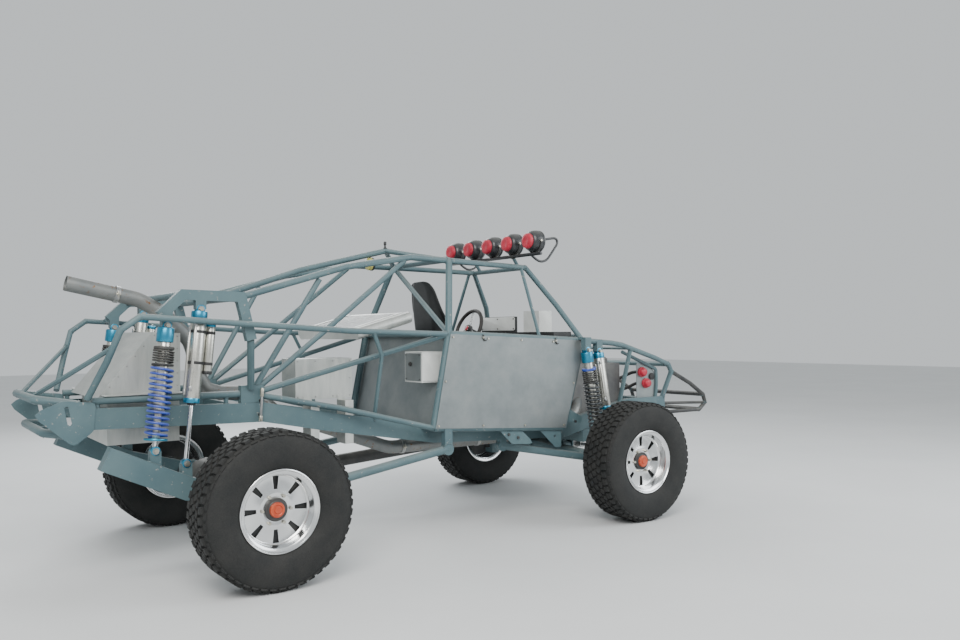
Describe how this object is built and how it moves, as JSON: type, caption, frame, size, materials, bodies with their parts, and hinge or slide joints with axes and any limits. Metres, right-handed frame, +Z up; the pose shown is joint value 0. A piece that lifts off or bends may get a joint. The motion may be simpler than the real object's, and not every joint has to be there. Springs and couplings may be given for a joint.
{
  "type": "dune buggy",
  "caption": "Bare desert dune buggy: tube cage on box rails, long-travel shocks, polished slotted wheels on tall off-road tyres, roof lamp bar and a bucket seat.",
  "frame": {"origin": "middle of the vehicle's box, on the ground", "axes": "+X forwards, +Y to the vehicle's left, +Z up"},
  "size_m": [5.5244, 2.36, 2.2046],
  "materials": {
    "frame_paint": "satin",
    "aluminium_sheet": "brushed",
    "pale_aluminium": "satin",
    "spring_blue": "gloss",
    "shock_steel": "satin",
    "engine_grey": "matte",
    "dark_steel": "satin",
    "exhaust_steel": "weathered",
    "seat_black": "matte",
    "plastic_black": "matte",
    "box_white": "matte",
    "rubber_black": "matte",
    "wheel_polished": "polished",
    "lamp_black": "satin"
  },
  "bodies": {
    "chassis": {"ladder_frame": "frame_paint", "main_hoop": "frame_paint", "side_frame_right": "frame_paint", "side_frame_left": "frame_paint", "cab_frame": "frame_paint", "rear_cage_right": "frame_paint", "rear_cage_left": "frame_paint", "shock_towers": "frame_paint", "rear_bumper": "frame_paint", "nose_frame": "frame_paint", "front_bumper": "frame_paint", "side_panel_right": "aluminium_sheet", "side_panel_left": "aluminium_sheet", "floor_pan": "aluminium_sheet", "firewall": "aluminium_sheet", "rear_bulkhead": "aluminium_sheet", "rear_axle": "dark_steel", "trailing_arm_right": "frame_paint", "trailing_arm_left": "frame_paint", "rear_coilover_right": "spring_blue", "rear_bypass_right": "shock_steel", "front_coilover_right": "spring_blue", "front_bypass_right": "shock_steel", "rear_coilover_left": "spring_blue", "rear_bypass_left": "shock_steel", "front_coilover_left": "spring_blue", "front_bypass_left": "shock_steel", "front_crossmember": "frame_paint", "front_beam_right": "frame_paint", "front_beam_left": "frame_paint", "steering_rack": "dark_steel", "engine_block": "engine_grey", "gearbox": "engine_grey", "driveshaft": "dark_steel", "exhaust": "exhaust_steel", "fuel_cell": "aluminium_sheet", "radiator": "pale_aluminium", "electrics_box": "box_white", "battery_box": "pale_aluminium", "seat": "seat_black", "dash": "plastic_black", "light_bar": "lamp_black", "tail_lamp": "lamp_black"},
    "wheel_rear_right": {"tyre_rear_right": "rubber_black", "rim_rear_right": "wheel_polished"},
    "wheel_rear_left": {"tyre_rear_left": "rubber_black", "rim_rear_left": "wheel_polished"},
    "wheel_front_right": {"tyre_front_right": "rubber_black", "rim_front_right": "wheel_polished"},
    "wheel_front_left": {"tyre_front_left": "rubber_black", "rim_front_left": "wheel_polished"},
    "steering_knuckle_right": {"knuckle_right": "dark_steel"},
    "steering_knuckle_left": {"knuckle_left": "dark_steel"},
    "steering_link": {"tie_rods": "dark_steel"},
    "hand_wheel": {"steering_wheel": "plastic_black"}
  },
  "joints": [
    {"name": "spin_rear_right", "type": "hinge", "parent": "chassis", "child": "wheel_rear_right", "pos_m": [-1.64, -1.03, 0.4445], "axis": [0, 1, 0], "continuous": true},
    {"name": "spin_rear_left", "type": "hinge", "parent": "chassis", "child": "wheel_rear_left", "pos_m": [-1.64, 1.03, 0.4445], "axis": [0, 1, 0], "continuous": true},
    {"name": "spin_front_right", "type": "hinge", "parent": "steering_knuckle_right", "child": "wheel_front_right", "pos_m": [1.25, -1.03, 0.4445], "axis": [0, 1, 0], "continuous": true},
    {"name": "spin_front_left", "type": "hinge", "parent": "steering_knuckle_left", "child": "wheel_front_left", "pos_m": [1.25, 1.03, 0.4445], "axis": [0, 1, 0], "continuous": true},
    {"name": "steer_right", "type": "hinge", "parent": "chassis", "child": "steering_knuckle_right", "pos_m": [1.25, -0.87, 0.4445], "axis": [0, 0, 1], "range_deg": [-30, 30]},
    {"name": "steer_left", "type": "hinge", "parent": "chassis", "child": "steering_knuckle_left", "pos_m": [1.25, 0.87, 0.4445], "axis": [0, 0, 1], "range_deg": [-30, 30]},
    {"name": "link_slide", "type": "slide", "parent": "chassis", "child": "steering_link", "axis": [0, 1, 0], "range_m": [-0.0951, 0.0951]},
    {"name": "hand_wheel_turn", "type": "hinge", "parent": "chassis", "child": "hand_wheel", "pos_m": [0.61278, 0.27, 1.45253], "axis": [0.9272, 0, -0.3746], "range_deg": [-271, 271]}
  ],
  "couplings": [
    {"joint": "steer_left", "follows": "steer_right", "ratio": 1},
    {"joint": "link_slide", "follows": "steer_right", "m_per_rad": 0.1814},
    {"joint": "hand_wheel_turn", "follows": "steer_right", "ratio": -9}
  ]
}
